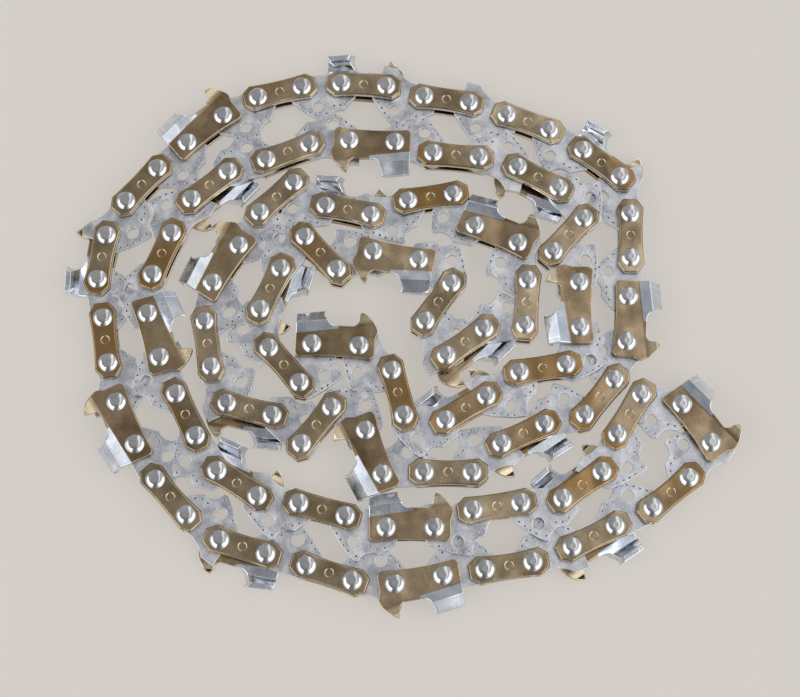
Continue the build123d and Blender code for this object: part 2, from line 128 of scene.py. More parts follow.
# %% [markdown]
# ## The marks of tumbling
#
# Every link was stamped from strip, hardened, and tumbled in a drum of grit until it shone. That
# leaves a slow waviness of the flats, patches where the drum bit more or less, and fine pits. Two
# slower marks, the shade and the temper, differ from link to link. The links of one kind share a
# mesh, so a random value for each object can't give them that, while noise that hardly changes
# over one link can. All five are noise at their real sizes. Noise keeps to the middle of its
# range, so it is spread to the full range from 0 to 1.

# %% Marks on the straps
# Size in mm and detail of each kind. Real pits are finer, and are drawn coarse enough to show.
GRAIN = {
    "temper": (26, 0.0),
    "shade": (17, 1.0),
    "waves": (8, 1.0),
    "patches": (3.2, 3.0),
    "pits": (0.55, 3.0),
}
# Nearly all of a noise lies between these
NOISE_SPREAD = (0.3, 0.7)


def tumbled(tree, place, kinds=("waves", "patches", "pits")):
    """Sockets of the marks that tumbling leaves, by name."""
    marks = {}
    for name in kinds:
        size_mm, detail = GRAIN[name]
        noise = add(
            tree,
            "ShaderNodeTexNoise",
            {"Vector": place, "Scale": 1 / (size_mm * MM), "Detail": detail},
        ).outputs["Fac"]
        marks[name] = add(
            tree,
            "ShaderNodeMapRange",
            {"Value": noise, "From Min": NOISE_SPREAD[0], "From Max": NOISE_SPREAD[1]},
        ).outputs["Result"]
    return marks


marks = tumbled(tree, place, kinds=GRAIN)
print("grain sizes in mm:", {name: size for name, (size, _) in GRAIN.items()})

# %% [markdown]
# ## Worn edges and painted highlights
#
# The drum also wears the edges round and pale, and the pale colour painted on them is partly a
# painted highlight, for the light that a rounded edge catches. They could be bevelled in the mesh,
# but the model's mesh stays as it is. The Bevel node rounds only the normal: near an edge it turns
# away from the face's own normal, and the difference between the two makes a mask of the wear and
# the painted highlight.

# %% Edges of the straps
# Cosine of the turn of the normal where the wear and its painted highlight begin, and where they
# are full
WEAR_AND_HIGHLIGHT_TURN = (0.995, 0.86)
BEVEL_SAMPLES = 16


def edge_wear_and_highlight(tree, edge_mm):
    """The normal with edges rounded this wide, and the mask of their wear and painted highlight."""
    face_normal = add(tree, "ShaderNodeNewGeometry").outputs["Normal"]
    rounded = add(
        tree, "ShaderNodeBevel", {"Radius": edge_mm * MM}, samples=BEVEL_SAMPLES
    ).outputs["Normal"]
    turn = add(
        tree, "ShaderNodeVectorMath", {0: rounded, 1: face_normal}, operation="DOT_PRODUCT"
    ).outputs["Value"]
    wear_and_highlight = add(
        tree,
        "ShaderNodeMapRange",
        {"Value": turn, "From Min": WEAR_AND_HIGHLIGHT_TURN[0], "From Max": WEAR_AND_HIGHLIGHT_TURN[1]},
    ).outputs["Result"]
    return rounded, wear_and_highlight


rounded, wear_and_highlight = edge_wear_and_highlight(tree, edge_mm=0.35)
print("the straps' finish has", len(tree.nodes), "nodes so far")

# %% [markdown]
# ## Tie straps: tempered spring steel
#
# Heat draws a thin oxide film over the straps, which tints the bright metal gold, a little browner
# on some straps than on others. A few came out hotter, and are warmer still. Worn rims are pale
# gold, partly from the wear and partly a painted highlight, and the sheared sides nearly white. A
# picture of a strap could be wrapped round each one, but mixing the colours by the marks needs no
# unwrapping and never repeats.

# %% The straps' temper
STRAW_DARK = linear("#77654B")
STRAW_PALE = linear("#CBB79A")
STRAW_WARM = linear("#9E7843")
# Share of the patches in a temper's shade
PATCH_SHARE = 0.4
# Where in the temper the hotter straps begin, where they are hottest, and how warm that is
HOT_SPAN = (0.6, 0.95)
HOT_SHARE = 0.75


def tempered(tree, marks, dark, pale):
    """The colour of a temper that differs from link to link and in patches."""
    shade = add(
        tree, "ShaderNodeMix", {"Factor": PATCH_SHARE, "A": marks["shade"], "B": marks["patches"]}
    ).outputs["Result"]
    return add(
        tree, "ShaderNodeMix", {"Factor": shade, "A": dark, "B": pale}, data_type="RGBA"
    ).outputs["Result"]


straw = tempered(tree, marks, STRAW_DARK, STRAW_PALE)
hotter = add(
    tree,
    "ShaderNodeMapRange",
    {
        "Value": marks["temper"],
        "From Min": HOT_SPAN[0],
        "From Max": HOT_SPAN[1],
        "To Max": HOT_SHARE,
    },
).outputs["Result"]
straw = add(
    tree, "ShaderNodeMix", {"Factor": hotter, "A": straw, "B": STRAW_WARM}, data_type="RGBA"
).outputs["Result"]
print("hotter straps where the temper is over", HOT_SPAN[0])

# %% Rims and sides of the straps
RIM_GOLD = linear("#DCCAA6")
SHEARED = linear("#DCD6CA")
# How far up or down a normal points, from the flats to the sheared sides
SIDE_SPAN = (0.5, 0.2)

# Painted highlight: the rims are mixed towards pale gold, partly for wear and partly for the light
# that a rounded edge catches
rim = add(
    tree, "ShaderNodeMix", {"Factor": wear_and_highlight, "A": straw, "B": RIM_GOLD}, data_type="RGBA"
).outputs["Result"]
face_normal = add(tree, "ShaderNodeNewGeometry").outputs["Normal"]
upward = add(tree, "ShaderNodeSeparateXYZ", {"Vector": face_normal}).outputs["Z"]
flat = add(tree, "ShaderNodeMath", {0: upward}, operation="ABSOLUTE").outputs["Value"]
side = add(
    tree,
    "ShaderNodeMapRange",
    {"Value": flat, "From Min": SIDE_SPAN[0], "From Max": SIDE_SPAN[1]},
).outputs["Result"]
colour = add(
    tree, "ShaderNodeMix", {"Factor": side, "A": rim, "B": SHEARED}, data_type="RGBA"
).outputs["Result"]
print("the straps' colour takes", len(tree.nodes), "nodes")

# %% Satin and bumps of the straps
# Roughness from the smooth to the pitted spots
TEMPER_SATIN = (0.17, 0.3)
# Heights in mm. Real waves are shallower, and are drawn deep enough to show from this far.
TEMPER_WAVES = 0.32
TEMPER_PITS = 0.005


def dress(tree, shader, marks, normal, colour, rough, wave_mm, pit_mm):
    """Links the colour, the roughness, and two bumps: slow waves and fine pits."""
    slow = add(
        tree,
        "ShaderNodeBump",
        {"Height": marks["waves"], "Distance": wave_mm * MM, "Normal": normal},
    ).outputs["Normal"]
    fine = add(
        tree, "ShaderNodeBump", {"Height": marks["pits"], "Distance": pit_mm * MM, "Normal": slow}
    ).outputs["Normal"]
    tree.links.new(colour, shader.inputs["Base Color"])
    tree.links.new(rough, shader.inputs["Roughness"])
    tree.links.new(fine, shader.inputs["Normal"])
    print("a finish of", len(tree.nodes), "nodes")


rough = add(
    tree,
    "ShaderNodeMapRange",
    {"Value": marks["pits"], "To Min": TEMPER_SATIN[0], "To Max": TEMPER_SATIN[1]},
).outputs["Result"]
dress(tree, shader, marks, rounded, colour, rough, wave_mm=TEMPER_WAVES, pit_mm=TEMPER_PITS)

# %% [markdown]
# ## Drive links: bright steel
#
# The drive links keep the pale colour of the hardened strip, a cool grey with a satin from the
# tumbling drum. It is cloudier than the straps, since the tangs take most of the knocks. One even
# grey would look like paint, so patches and pits together make the clouds, and the patches also
# change the roughness.

# %% The drive link finish
BRIGHT_COOL = linear("#AEB3BF")
BRIGHT_PALE = linear("#FAFAFC")
BRIGHT_RIM = linear("#F2F2F2")
# Share of the pits in the clouds
PIT_SHARE = 0.35
# Roughness from the smooth to the rough patches
BRIGHT_SATIN = (0.28, 0.5)

# Gives the eye a cool grey satin with soft pale clouds
drive_finish, tree, shader, place = new_finish("Bright hardened strip steel, tumbled")
marks = tumbled(tree, place)
rounded, wear_and_highlight = edge_wear_and_highlight(tree, edge_mm=0.2)
cloud = add(
    tree, "ShaderNodeMix", {"Factor": PIT_SHARE, "A": marks["patches"], "B": marks["pits"]}
).outputs["Result"]
tint = add(
    tree, "ShaderNodeMix", {"Factor": cloud, "A": BRIGHT_COOL, "B": BRIGHT_PALE}, data_type="RGBA"
).outputs["Result"]
# Painted highlight: the rims are mixed towards near white, partly for wear and partly for the light
# that a rounded edge catches
colour = add(
    tree, "ShaderNodeMix", {"Factor": wear_and_highlight, "A": tint, "B": BRIGHT_RIM}, data_type="RGBA"
).outputs["Result"]
rough = add(
    tree,
    "ShaderNodeMapRange",
    {"Value": marks["patches"], "To Min": BRIGHT_SATIN[0], "To Max": BRIGHT_SATIN[1]},
).outputs["Result"]
dress(tree, shader, marks, rounded, colour, rough, wave_mm=0.25, pit_mm=0.012)

# %% [markdown]
# ## Rivets: spun heads
#
# The rivet heads are formed by spinning, which burnishes the dome: the smoothest metal on the
# chain. Only the small dish in the middle, where the tool turns on the spot, stays a little rough.
# A low roughness makes the dome mirror the light tent around it. The domes are smooth already, so
# they need no rounded normal. A colour layer of the rivets, which are made further down, marks the
# dish.

# %% The rivet finish
BURNISHED_DARK = linear("#BDBEC0")
BURNISHED_PALE = linear("#DDDEDF")
DISH_GREY = linear("#CACACC")
# Roughness of the dome from the smooth to the pitted spots, and of the dish
DOME_POLISH = (0.04, 0.1)
DISH_ROUGH = 0.2

# Gives the eye small mirrors, each with a duller spot in the middle
rivet_finish, tree, shader, place = new_finish("Burnished rivet steel")
marks = tumbled(tree, place)
dome_normal = add(tree, "ShaderNodeNewGeometry").outputs["Normal"]
dish = add(tree, "ShaderNodeVertexColor", layer_name="dish").outputs["Color"]
tint = add(
    tree,
    "ShaderNodeMix",
    {"Factor": marks["patches"], "A": BURNISHED_DARK, "B": BURNISHED_PALE},
    data_type="RGBA",
).outputs["Result"]
colour = add(
    tree, "ShaderNodeMix", {"Factor": dish, "A": tint, "B": DISH_GREY}, data_type="RGBA"
).outputs["Result"]
polish = add(
    tree,
    "ShaderNodeMapRange",
    {"Value": marks["pits"], "To Min": DOME_POLISH[0], "To Max": DOME_POLISH[1]},
).outputs["Result"]
rough = add(tree, "ShaderNodeMix", {"Factor": dish, "A": polish, "B": DISH_ROUGH}).outputs["Result"]
dress(tree, shader, marks, dome_normal, colour, rough, wave_mm=0.01, pit_mm=0.004)

# %% [markdown]
# ## Where each link lies
#
# The cutters' finish, the rivets and the dots need to know where the links lie. The faces of the
# model aren't welded to each other in its meshes, so each CAD face is an island of its own. The
# round wall of a bore is easy to know by its radius, and the middles of a link's bores say where
# it lies: x runs from the trailing rivet to the leading one, and y points to the cutting side.

# %% The bores of a mesh
SEAT_BORE = 1.56 * MM
# How close the points of a round wall are to its radius, and how tall a bore is at least
ROUND_ENOUGH = 0.02 * MM
TALL_ENOUGH = 0.5 * MM


def islands(mesh):
    """The vertex positions of each island of a mesh."""
    net = bmesh.new()
    net.from_mesh(mesh)
    left = set(net.verts)
    while left:
        found = [left.pop()]
        for vertex in found:
            for edge in vertex.link_edges:
                other = edge.other_vert(vertex)
                if other in left:
                    left.remove(other)
                    found.append(other)
        yield [vertex.co.copy() for vertex in found]
    net.free()


def bores(walls, radius):
    """The middles of the round walls that have this radius."""
    middles = []
    for wall in walls:
        low = Vector(map(min, zip(*wall)))
        high = Vector(map(max, zip(*wall)))
        middle = (low + high) / 2
        off = max(abs((point - middle).xy.length - radius) for point in wall)
        if off < ROUND_ENOUGH and high.z - low.z > TALL_ENOUGH:
            middles.append(middle)
    return middles


cutters = [link for name, link in frame["nodes"].items() if "cutter" in name]
print("seats in one cutter:", len(bores(islands(cutters[0].data), SEAT_BORE)))

# %% The cutters' places


def cutter_place(mesh):
    """The trailing rivet of a cutter and the ways along and across it."""
    walls = list(islands(mesh))
    one, two = bores(walls, SEAT_BORE)
    along = (two - one).normalized()
    across = Vector((-along.y, along.x, 0))
    reach = [across.dot(point - one) for wall in walls for point in wall]
    # The tooth stands out further than the foot, so a cutter taken the wrong way round is turned
    if max(reach) < -min(reach):
        one, along, across = two, -along, -across
    return one, along, across


for link in cutters:
    link["trailing_rivet"], link["along"], link["across"] = map(list, cutter_place(link.data))
print("cutters placed:", len(cutters))

# %% [markdown]
# ## Cutters: chrome over tempered steel
#
# A cutter is a strap whose upper part flares out and leans over. The body and the depth gauge keep
# the straw temper, and the upper part of the gauge is painted paler as a highlight, for the light
# that its bend catches. The tooth is plated with hard chrome from its lower bend up, which is bluer
# and smoother. Body and tooth could be two materials, but each node of the model has one slot. So
# the places found above tell the shader how far along and across its cutter a point lies: an
# Attribute node reads them from the object, and one material serves all cutters.

# %% A point's place on its cutter
# The bend rises to the front, so heights are measured from a line with its slope
BEND_SLOPE = math.tan(math.radians(8))

# Gives the eye a bright, bluish tooth on a brown body
cutter_finish, tree, shader, place = new_finish("Hard chrome over straw-tempered steel")
marks = tumbled(tree, place, kinds=("shade", "waves", "patches", "pits"))
rounded, wear_and_highlight = edge_wear_and_highlight(tree, edge_mm=0.3)
rivet_place, along, across = [
    add(tree, "ShaderNodeAttribute", attribute_type="OBJECT", attribute_name=name).outputs["Vector"]
    for name in ("trailing_rivet", "along", "across")
]
from_rivet = add(
    tree, "ShaderNodeVectorMath", {0: place, 1: rivet_place}, operation="SUBTRACT"
).outputs["Vector"]
x, y = [
    add(
        tree, "ShaderNodeVectorMath", {0: from_rivet, 1: way}, operation="DOT_PRODUCT"
    ).outputs["Value"]
    for way in (along, across)
]
height = add(
    tree, "ShaderNodeMath", {0: x, 1: -BEND_SLOPE, 2: y}, operation="MULTIPLY_ADD"
).outputs["Value"]
print("the bend rises by", round(BEND_SLOPE, 2), "mm for each mm to the front")

# %% Where the chrome begins
# It lies above the lower bend and behind the gullet, and begins within a fine step
BEND_HEIGHT = 2.65 * MM
GULLET_MIDDLE = 5.6 * MM
CHROME_FADE = 0.12 * MM

above = add(
    tree,
    "ShaderNodeMapRange",
    {"Value": height, "From Min": BEND_HEIGHT, "From Max": BEND_HEIGHT + CHROME_FADE},
).outputs["Result"]
behind = add(
    tree,
    "ShaderNodeMapRange",
    {"Value": x, "From Min": GULLET_MIDDLE, "From Max": GULLET_MIDDLE - CHROME_FADE},
).outputs["Result"]
plated = add(tree, "ShaderNodeMath", {0: above, 1: behind}, operation="MULTIPLY").outputs["Value"]
print("chrome from", round(BEND_HEIGHT / MM, 2), "mm above the rivets")

# %% The cutter's body
# The bodies are tempered a little hotter than the straps
BROWN_DARK = linear("#725C42")
BROWN_PALE = linear("#C6AF90")
GAUGE_HIGHLIGHT_GOLD = linear("#EBDCBC")
# How high up the painted highlight on the gauge begins, how softly, and how bright it gets
GAUGE_HIGHLIGHT_FROM = 3.4 * MM
GAUGE_FADE = 0.4 * MM
GAUGE_SHARE = 0.75

brown = tempered(tree, marks, BROWN_DARK, BROWN_PALE)
# Painted highlight: the rims are mixed towards pale gold, partly for wear and partly for the light
# that a rounded edge catches
rim = add(
    tree, "ShaderNodeMix", {"Factor": wear_and_highlight, "A": brown, "B": RIM_GOLD}, data_type="RGBA"
).outputs["Result"]
# Painted highlight: above this height the gauge is mixed towards pale gold, for the light that its
# bend catches
gauge_highlight = add(
    tree,
    "ShaderNodeMapRange",
    {
        "Value": height,
        "From Min": GAUGE_HIGHLIGHT_FROM - GAUGE_FADE,
        "From Max": GAUGE_HIGHLIGHT_FROM + GAUGE_FADE,
        "To Max": GAUGE_SHARE,
    },
).outputs["Result"]
body_with_highlights = add(
    tree, "ShaderNodeMix", {"Factor": gauge_highlight, "A": rim, "B": GAUGE_HIGHLIGHT_GOLD}, data_type="RGBA"
).outputs["Result"]
print("gauges bright from", round(GAUGE_HIGHLIGHT_FROM / MM, 2), "mm up")

# %% The cutter's tooth
CHROME_COOL = linear("#C6D0E1")
CHROME_PALE = linear("#F0F3F8")
CHROME_RIM = linear("#F6F8FC")
# A fine line across the top plate is painted bright as a highlight
PAINTED_LINE_AT = -2.3 * MM
# How far from its middle the line ends, and how far it is full
LINE_SPAN = (0.16 * MM, 0.06 * MM)
# The top plate lies above this height
SHOULDER_HEIGHT = 4.8 * MM

chrome = add(
    tree,
    "ShaderNodeMix",
    {"Factor": marks["patches"], "A": CHROME_COOL, "B": CHROME_PALE},
    data_type="RGBA",
).outputs["Result"]
from_line = add(
    tree, "ShaderNodeMath", {0: x, 1: -PAINTED_LINE_AT}, operation="ADD"
).outputs["Value"]
off_line = add(tree, "ShaderNodeMath", {0: from_line}, operation="ABSOLUTE").outputs["Value"]
on_line = add(
    tree,
    "ShaderNodeMapRange",
    {"Value": off_line, "From Min": LINE_SPAN[0], "From Max": LINE_SPAN[1]},
).outputs["Result"]
on_top = add(
    tree, "ShaderNodeMath", {0: height, 1: SHOULDER_HEIGHT}, operation="GREATER_THAN"
).outputs["Value"]
line = add(tree, "ShaderNodeMath", {0: on_line, 1: on_top}, operation="MULTIPLY").outputs["Value"]
# Painted highlights: the line on the top plate and the rounded rims are mixed towards near-white
# chrome
bright = add(tree, "ShaderNodeMath", {0: line, 1: wear_and_highlight}, operation="MAXIMUM").outputs["Value"]
tooth = add(
    tree, "ShaderNodeMix", {"Factor": bright, "A": chrome, "B": CHROME_RIM}, data_type="RGBA"
).outputs["Result"]
print("filing line", round(-PAINTED_LINE_AT / MM, 2), "mm behind the trailing rivet")

# %% The cutter finish
CHROME_POLISH = (0.12, 0.24)

colour = add(
    tree, "ShaderNodeMix", {"Factor": plated, "A": body_with_highlights, "B": tooth}, data_type="RGBA"
).outputs["Result"]
satin, polish = [
    add(
        tree, "ShaderNodeMapRange", {"Value": marks["pits"], "To Min": smooth, "To Max": pitted}
    ).outputs["Result"]
    for smooth, pitted in (TEMPER_SATIN, CHROME_POLISH)
]
rough = add(tree, "ShaderNodeMix", {"Factor": plated, "A": satin, "B": polish}).outputs["Result"]
dress(tree, shader, marks, rounded, colour, rough, wave_mm=TEMPER_WAVES, pit_mm=TEMPER_PITS)

# %% [markdown]
# ## The finishes on the links
#
# The record names a material slot for every node, so the finish follows from the slot. The nodes'
# names could say it too, but a slot stays the same when a node is renamed.

# %% Assigning the finishes
FINISHES = {
    "strap_steel": strap_finish,
    "drive_steel": drive_finish,
    "rivet_steel": rivet_finish,
    "cutter_steel": cutter_finish,
}
for part in frame["record"]["subparts"]:
    link = frame["nodes"][part["node"]]
    link.data.materials.clear()
    link.data.materials.append(FINISHES[part["material_slot"]])

# %% [markdown]
# ## Turned rivets
#
# A mirror-bright dome shows every facet of the model's mesh, so each rivet is turned anew on its own
# axis: a profile from the dish in the middle, over the dome and the rim, down the shank to the
# bearing, and the same below. The round wall of the bearing says where a rivet stands. The turned
# rivets take the place of the model's.

# %% The rivet profile
# Radii of the bearing in the drive link, the shank in the straps, the head and its dish
BEARING = 2.2 * MM
SHANK = 1.55 * MM
HEAD = 2.1 * MM
DISH = 0.6 * MM
# Heights above the middle of the chain, and the height of the head's upright rim
RIVET_TOP = 2.9167 * MM
STRAP_FACE = 2.1667 * MM
STRAP_BACK = 0.9667 * MM
RIM = 0.1 * MM
# Radius and depth in mm of the points in the dish
DISH_POINTS = [(0.25, 0.01), (0.45, 0.007)]
DOME_STEPS = 7

# The dome is an arc that starts level at the dish and ends at the rim
drop = RIVET_TOP - STRAP_FACE - RIM
run = HEAD - DISH
dome_radius = (run**2 + drop**2) / (2 * drop)
dome_end = math.asin(run / dome_radius)
profile = [(radius * MM, RIVET_TOP - depth * MM) for radius, depth in DISH_POINTS]
for step in range(DOME_STEPS + 1):
    tilt = dome_end * step / DOME_STEPS
    sunk = dome_radius * (1 - math.cos(tilt))
    profile.append((DISH + dome_radius * math.sin(tilt), RIVET_TOP - sunk))
profile += [(HEAD, STRAP_FACE), (SHANK, STRAP_FACE), (SHANK, STRAP_BACK), (BEARING, STRAP_BACK)]
profile += [(radius, -level) for radius, level in reversed(profile)]
print("rivet profile:", len(profile), "points")

# %% A rivet's skin
RIVET_ROUND = 28
IN_DISH = (1, 1, 1, 1)
ELSEWHERE = (0, 0, 0, 1)


def skin(net, tint, rings, dish_rings):
    """Closes rings of points, listed from the top down, to a solid, and marks its dish."""
    faces = [net.faces.new(rings[0]), net.faces.new(list(reversed(rings[-1])))]
    for high, low in zip(rings, rings[1:]):
        for one in range(len(high)):
            two = (one + 1) % len(high)
            faces.append(net.faces.new((high[one], low[one], low[two], high[two])))
    dished = {vertex for ring in dish_rings for vertex in ring}
    for face in faces:
        for corner in face.loops:
            corner[tint] = IN_DISH if corner.vert in dished else ELSEWHERE


def turn_rivet(net, tint, middle):
    """Adds one rivet to a mesh: the profile turned about its axis, with both ends closed."""
    rings = []
    for radius, level in profile:
        ring = []
        for step in range(RIVET_ROUND):
            angle = 2 * math.pi * step / RIVET_ROUND
            spot = (radius * math.cos(angle), radius * math.sin(angle), level)
            ring.append(net.verts.new(middle + Vector(spot)))
        rings.append(ring)
    inner = len(DISH_POINTS)
    skin(net, tint, rings, rings[:inner] + rings[-inner:])


print("points in a rivet:", len(profile) * RIVET_ROUND)

# %% Turning the rivets
SHARP_EDGE = math.radians(30)
RIVET_NODES = {
    "coil": "rivets",
    "inner_side": "inner_side_rivets",
    "outer_side": "outer_side_rivets",
    "fold_end": "fold_rivets",
}


def finished_piece(net, name, body, finish):
    """Makes an object of a mesh in work, gives it its finish, and sets it on a body."""
    mesh = bpy.data.meshes.new(name)
    net.to_mesh(mesh)
    net.free()
    mesh.materials.append(finish)
    piece = bpy.data.objects.new(name, mesh)
    bpy.context.collection.objects.link(piece)
    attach(piece, body)
    print(name, "has", len(mesh.polygons), "faces")
    return piece


for body, node in RIVET_NODES.items():
    net = bmesh.new()
    tint = net.loops.layers.color.new("dish")
    for middle in bores(islands(frame["nodes"][node].data), BEARING):
        turn_rivet(net, tint, middle)
    for face in net.faces:
        face.smooth = True
    rivets = finished_piece(net, f"{body}_turned_rivets", body, rivet_finish)
    rivets.data.set_sharp_from_angle(angle=SHARP_EDGE)
    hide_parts(node)

# %% [markdown]
# ## Stamped dots
#
# A row of small oval dots is stamped along the rim of every tang. They are shallow dishes with a
# raised lip, less than a millimetre long. A bump could draw them, but it would be lost in the
# exported meshes, so they are small closed meshes set into the drive links' upper faces. The oil
# hole and the two bores of a link say where its dots go. All dots that ride on one body are one
# piece.

# %% The drive links' places
HUB_BORE = 2.25 * MM
OIL_BORE = 1.3 * MM
DRIVE_PITCH = 8.89 * MM
# Where the oil hole lies from the trailing rivet, along and across the link
OIL_HOLE = Vector((3.25, -4.6, 0)) * MM
SAME_SPOT = 0.05 * MM
DRIVE_NODES = {
    "coil": ["drive_links", "bumper_links"],
    "fold_end": ["fold_drive_links", "fold_bumper_links"],
}


def drive_places(mesh):
    """The trailing rivet and the ways along and across each drive link of a mesh."""
    walls = list(islands(mesh))
    hubs = bores(walls, HUB_BORE)
    for hole in bores(walls, OIL_BORE):
        for trailing in hubs:
            for leading in hubs:
                along = leading - trailing
                if abs(along.length - DRIVE_PITCH) < SAME_SPOT:
                    along.normalize()
                    across = Vector((-along.y, along.x, 0))
                    expected = trailing + OIL_HOLE.x * along + OIL_HOLE.y * across
                    if (expected - hole).length < SAME_SPOT:
                        yield trailing, along, across


places = {
    body: [place for name in names for place in drive_places(frame["nodes"][name].data)]
    for body, names in DRIVE_NODES.items()
}
print("drive links found:", {body: len(found) for body, found in places.items()})

# %% The dots' finish
PAINTED_DISH_SHADE = linear("#4A4C52")
# Share of the painted shade in the dish, from the lighter to the darker patches
DISH_SHADE_SHARE = (0.65, 1.0)
# Roughness from the smooth to the pitted spots
DOT_SATIN = (0.3, 0.5)

# Gives the eye dark specks, a painted shade in each dish, with bright lips
dot_finish, tree, shader, place = new_finish("Stamped dot, grit left in the dish")
marks = tumbled(tree, place)
rounded, _ = edge_wear_and_highlight(tree, edge_mm=0.05)
dish = add(tree, "ShaderNodeVertexColor", layer_name="dish").outputs["Color"]
# Painted shade: each dish is mixed towards dark grey, more in some patches, for the shade inside it
dish_shade = add(
    tree,
    "ShaderNodeMapRange",
    {"Value": marks["patches"], "To Min": DISH_SHADE_SHARE[0], "To Max": DISH_SHADE_SHARE[1]},
).outputs["Result"]
dark = add(tree, "ShaderNodeMath", {0: dish, 1: dish_shade}, operation="MULTIPLY").outputs["Value"]
colour = add(
    tree, "ShaderNodeMix", {"Factor": dark, "A": BRIGHT_PALE, "B": PAINTED_DISH_SHADE}, data_type="RGBA"
).outputs["Result"]
rough = add(
    tree,
    "ShaderNodeMapRange",
    {"Value": marks["pits"], "To Min": DOT_SATIN[0], "To Max": DOT_SATIN[1]},
).outputs["Result"]
dress(tree, shader, marks, rounded, colour, rough, wave_mm=0.002, pit_mm=0.004)

# %% Stamping the dots
# Middle of each dot on its link in mm, and the way it points in degrees
DOTS = [
    (4.5, -7.35, 10), (2.55, -6.7, -35), (1.35, -5.85, -40), (0.35, -4.9, -45), (-0.75, -3.85, -45),
    (6.9, -4.75, 20), (8.35, -4.75, 20), (9.7, -4.0, 45),
]
# Half the length and half the width of a dot
DOT_LONG = 0.46 * MM
DOT_WIDE = 0.3 * MM
DOT_ROUND = 12
# Share of the dot's size and height above the face, from the dish over the lip to the foot
DOT_RINGS = [(0.5, 0.008 * MM), (0.86, 0.05 * MM), (1.0, -0.03 * MM)]
# Height of a drive link's upper face above its middle
FACE_HEIGHT = 0.65 * MM


def stamp(net, tint, trailing, along, across, dot):
    """Adds one dot to a mesh: a dish, a lip, and a foot below the face."""
    middle_x, middle_y, degrees = dot
    turn = math.radians(degrees)
    rings = []
    for share, rise in DOT_RINGS:
        ring = []
        for step in range(DOT_ROUND):
            angle = 2 * math.pi * step / DOT_ROUND
            long = share * DOT_LONG * math.cos(angle)
            wide = share * DOT_WIDE * math.sin(angle)
            x = middle_x * MM + long * math.cos(turn) - wide * math.sin(turn)
            y = middle_y * MM + long * math.sin(turn) + wide * math.cos(turn)
            point = trailing + x * along + y * across
            ring.append(net.verts.new((point.x, point.y, trailing.z + FACE_HEIGHT + rise)))
        rings.append(ring)
    skin(net, tint, rings, rings[:1])


for body, found in places.items():
    net = bmesh.new()
    tint = net.loops.layers.color.new("dish")
    for trailing, along, across in found:
        for dot in DOTS:
            stamp(net, tint, trailing, along, across, dot)
    finished_piece(net, f"{body}_stamped_dots", body, dot_finish)

# %% [markdown]
# ## Table
#
# The chain lies on a plain pale card. Part of its colour is given off to the camera and to mirrored
# rays, so that the gaps between the links stay pale as in a light tent, and the chain still casts
# its soft shadow on the rest. More light would do the same, but it would bleach the steel.

# %% The table
# Half its width in metres
TABLE_HALF = 1.5
CARD = linear("#D8D3CC")

table_mesh = bpy.data.meshes.new("pale table")
table_mesh.from_pydata(
    [(sx * TABLE_HALF, sy * TABLE_HALF, 0) for sx, sy in ((-1, -1), (1, -1), (1, 1), (-1, 1))],
    [],
    [(0, 1, 2, 3)],
)
table = bpy.data.objects.new("pale table", table_mesh)
bpy.context.collection.objects.link(table)
table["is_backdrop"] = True
print("table", 2 * TABLE_HALF, "m wide")

# %% The card
# Share of the card's colour that it gives off
CARD_GLOW = 0.65

# Gives the eye an even pale ground without gloss
card = bpy.data.materials.new("Matt warm-grey card")
card.use_nodes = True
tree = card.node_tree
tree.nodes.clear()
matt = add(tree, "ShaderNodeBsdfDiffuse", {"Color": CARD}).outputs["BSDF"]
glow = add(tree, "ShaderNodeEmission", {"Color": CARD}).outputs["Emission"]
ray = add(tree, "ShaderNodeLightPath")
seen = add(
    tree,
    "ShaderNodeMath",
    {0: ray.outputs["Is Camera Ray"], 1: ray.outputs["Is Glossy Ray"]},
    operation="MAXIMUM",
).outputs["Value"]
share = add(tree, "ShaderNodeMath", {0: seen, 1: CARD_GLOW}, operation="MULTIPLY").outputs["Value"]
both = add(tree, "ShaderNodeMixShader", {0: share, 1: matt, 2: glow}).outputs["Shader"]
add(tree, "ShaderNodeOutputMaterial", {"Surface": both})
table_mesh.materials.append(card)
print("card of", len(tree.nodes), "nodes")

# %% [markdown]
# ## Light
#
# Polished steel shows whatever surrounds it. The chain was lit in a tent: a grey ceiling with a
# pale patch to the right, and bright walls to the left and right, which darken towards their foot
# and end before the very front and the back. Each rivet head mirrors the walls as two white
# crescents round a grey middle. Lamps and white boards could make such a tent, but they would stand
# in the way of other views, so the world is the tent. A ray's way, seen from above, says what it
# meets: close to the middle is ceiling, further out is wall. The light on the table adds up to
# about 1, so colours render as they are written.

# %% Where the walls stand
# Middle of the ceiling, which lies behind the point overhead, and how far from it the walls begin
CEILING_MIDDLE = 0.25
WALL_START = (0.68, 0.77)

world = bpy.data.worlds.new("light tent")
bpy.context.scene.world = world
world.use_nodes = True
tree = world.node_tree
tree.nodes.clear()
way = add(tree, "ShaderNodeTexCoord").outputs["Generated"]
from_middle = add(
    tree,
    "ShaderNodeVectorMath",
    {0: way, 1: (1, 1, 0), 2: (0, -CEILING_MIDDLE, 0)},
    operation="MULTIPLY_ADD",
).outputs["Vector"]
outward = add(tree, "ShaderNodeVectorMath", {0: from_middle}, operation="LENGTH").outputs["Value"]
outside = add(
    tree,
    "ShaderNodeMapRange",
    {"Value": outward, "From Min": WALL_START[0], "From Max": WALL_START[1]},
    interpolation_type="SMOOTHSTEP",
).outputs["Result"]
turned = add(
    tree, "ShaderNodeVectorMath", {0: from_middle}, operation="NORMALIZE"
).outputs["Vector"]
backward = add(tree, "ShaderNodeSeparateXYZ", {"Vector": turned}).outputs["Y"]
print("walls begin", WALL_START, "out from the ceiling's middle")

# %% How far the walls reach
# Places from -1 at the front to 1 at the back, and the walls' share of light there
WALL_REACH = [(-0.96, 0.0), (-0.91, 1.0), (0.0, 1.0), (0.3, 0.0)]
